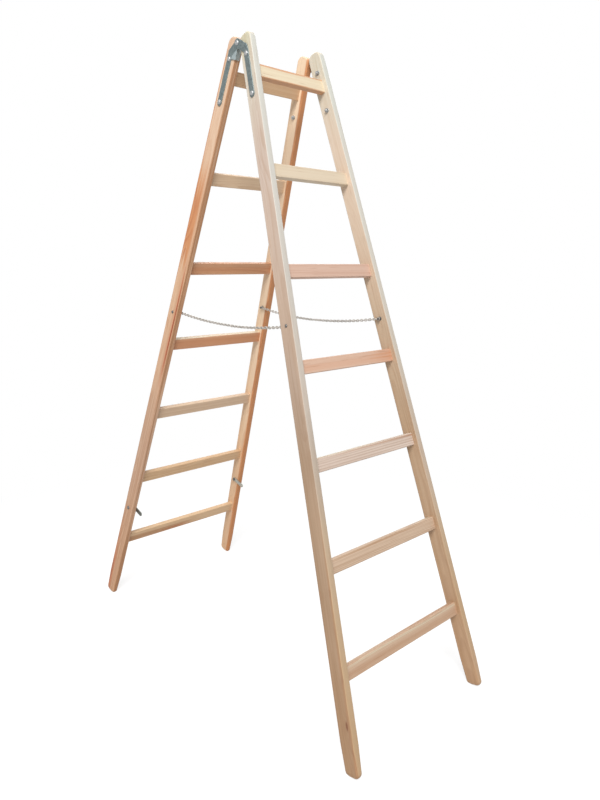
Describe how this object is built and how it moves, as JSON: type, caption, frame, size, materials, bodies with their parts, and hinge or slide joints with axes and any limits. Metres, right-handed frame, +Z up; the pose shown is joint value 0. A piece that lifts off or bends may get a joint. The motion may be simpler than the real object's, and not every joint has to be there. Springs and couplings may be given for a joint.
{
  "type": "wooden stepladder",
  "caption": "Double-sided wooden stepladder: two tapered pine frames with rungs on edge, hinged at the top by steel straps and stayed by two chains.",
  "frame": {"origin": "on the floor, under the middle of the open ladder", "axes": "+X across the ladder along the rungs, -Y towards the front frame, +Z up"},
  "size_m": [0.6084, 1.3598, 1.9728],
  "materials": {
    "stile_wood": "planed pine, clear sealed",
    "rung_wood": "planed pine, clear sealed",
    "hinge_steel": "galvanised",
    "fastener_steel": "zinc plated",
    "chain_steel": "zinc plated, dulled",
    "lug_steel": "galvanised"
  },
  "bodies": {
    "front_frame": {"front_chain_bolts": "fastener_steel", "front_chain_nuts": "fastener_steel", "front_chain_washers": "fastener_steel", "front_hinge_bolts": "fastener_steel", "front_hinge_nuts": "fastener_steel", "front_hinge_washers": "fastener_steel", "front_rung_1": "rung_wood", "front_rung_2": "rung_wood", "front_rung_3": "rung_wood", "front_rung_4": "rung_wood", "front_rung_5": "rung_wood", "front_rung_6": "rung_wood", "front_rung_7": "rung_wood", "hinge_pivots": "fastener_steel", "left_front_hinge_leaf": "hinge_steel", "left_front_stile": "stile_wood", "right_front_hinge_leaf": "hinge_steel", "right_front_stile": "stile_wood"},
    "rear_frame": {"guide_lug_bolts": "fastener_steel", "guide_lug_nuts": "fastener_steel", "guide_lug_washers": "fastener_steel", "left_guide_lug": "lug_steel", "left_rear_hinge_leaf": "hinge_steel", "left_rear_stile": "stile_wood", "rear_chain_bolts": "fastener_steel", "rear_chain_nuts": "fastener_steel", "rear_chain_washers": "fastener_steel", "rear_hinge_bolts": "fastener_steel", "rear_hinge_nuts": "fastener_steel", "rear_hinge_washers": "fastener_steel", "rear_rung_1": "rung_wood", "rear_rung_2": "rung_wood", "rear_rung_3": "rung_wood", "rear_rung_4": "rung_wood", "rear_rung_5": "rung_wood", "rear_rung_6": "rung_wood", "rear_rung_7": "rung_wood", "right_guide_lug": "lug_steel", "right_rear_hinge_leaf": "hinge_steel", "right_rear_stile": "stile_wood"},
    "left_front_chain": {"left_chain_front_half": "chain_steel"},
    "right_front_chain": {"right_chain_front_half": "chain_steel"},
    "left_rear_chain": {"left_chain_rear_half": "chain_steel"},
    "right_rear_chain": {"right_chain_rear_half": "chain_steel"}
  },
  "joints": [
    {"name": "hinge_fold", "type": "hinge", "parent": "front_frame", "child": "rear_frame", "pos_m": [0, 0, 1.94726], "axis": [-1, 0, 0], "range_deg": [0, 36]},
    {"name": "left_front_chain_swing", "type": "hinge", "parent": "front_frame", "child": "left_front_chain", "pos_m": [-0.18581, -0.28452, 1.158], "axis": [-0.9972, 0.023, 0.0708], "range_deg": [0, 90.75]},
    {"name": "right_front_chain_swing", "type": "hinge", "parent": "front_frame", "child": "right_front_chain", "pos_m": [0.18581, -0.28452, 1.158], "axis": [-0.9972, -0.023, -0.0708], "range_deg": [0, 90.75]},
    {"name": "left_rear_chain_swing", "type": "hinge", "parent": "rear_frame", "child": "left_rear_chain", "pos_m": [-0.18581, 0.28452, 1.158], "axis": [0.9977, 0.0245, 0.0634], "range_deg": [0, 90.58]},
    {"name": "right_rear_chain_swing", "type": "hinge", "parent": "rear_frame", "child": "right_rear_chain", "pos_m": [0.18581, 0.28452, 1.158], "axis": [0.9977, -0.0245, -0.0634], "range_deg": [0, 90.58]}
  ],
  "couplings": [
    {"joint": "left_front_chain_swing", "follows": "hinge_fold", "ratio": 2.5069},
    {"joint": "right_front_chain_swing", "follows": "hinge_fold", "ratio": 2.5069},
    {"joint": "left_rear_chain_swing", "follows": "hinge_fold", "ratio": 2.5021},
    {"joint": "right_rear_chain_swing", "follows": "hinge_fold", "ratio": 2.5021}
  ]
}
